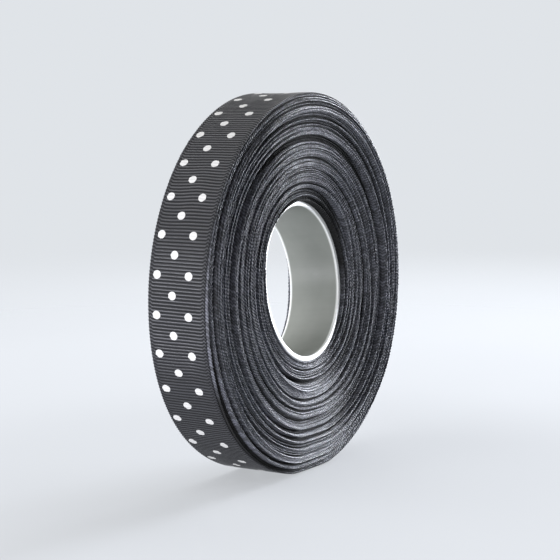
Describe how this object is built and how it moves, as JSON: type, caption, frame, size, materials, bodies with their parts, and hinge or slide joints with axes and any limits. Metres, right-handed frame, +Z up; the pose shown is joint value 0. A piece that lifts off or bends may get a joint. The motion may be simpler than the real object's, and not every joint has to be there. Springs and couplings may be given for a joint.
{
  "type": "roll of grosgrain ribbon",
  "caption": "Roll of narrow grosgrain ribbon with white polka dots, wound on a thin plastic core and standing on its edge, its cut end held by clear tape.",
  "frame": {"origin": "on the surface the roll stands on, under the roll's axis and the middle of the ribbon's width", "axes": "+Z up, Y along the roll's axis with its front face looking to -Y, +X to the right of that face"},
  "size_m": [0.0957, 0.023, 0.0954],
  "materials": {
    "ribbon": "black woven polyester, cross-ribbed, with printed white dots",
    "core_plastic": "white, slightly translucent, smooth",
    "clear_tape": "clear film, smooth"
  },
  "bodies": {
    "root": {"ribbon_roll": "ribbon", "core": "core_plastic", "end_tape": "clear_tape"}
  },
  "joints": []
}
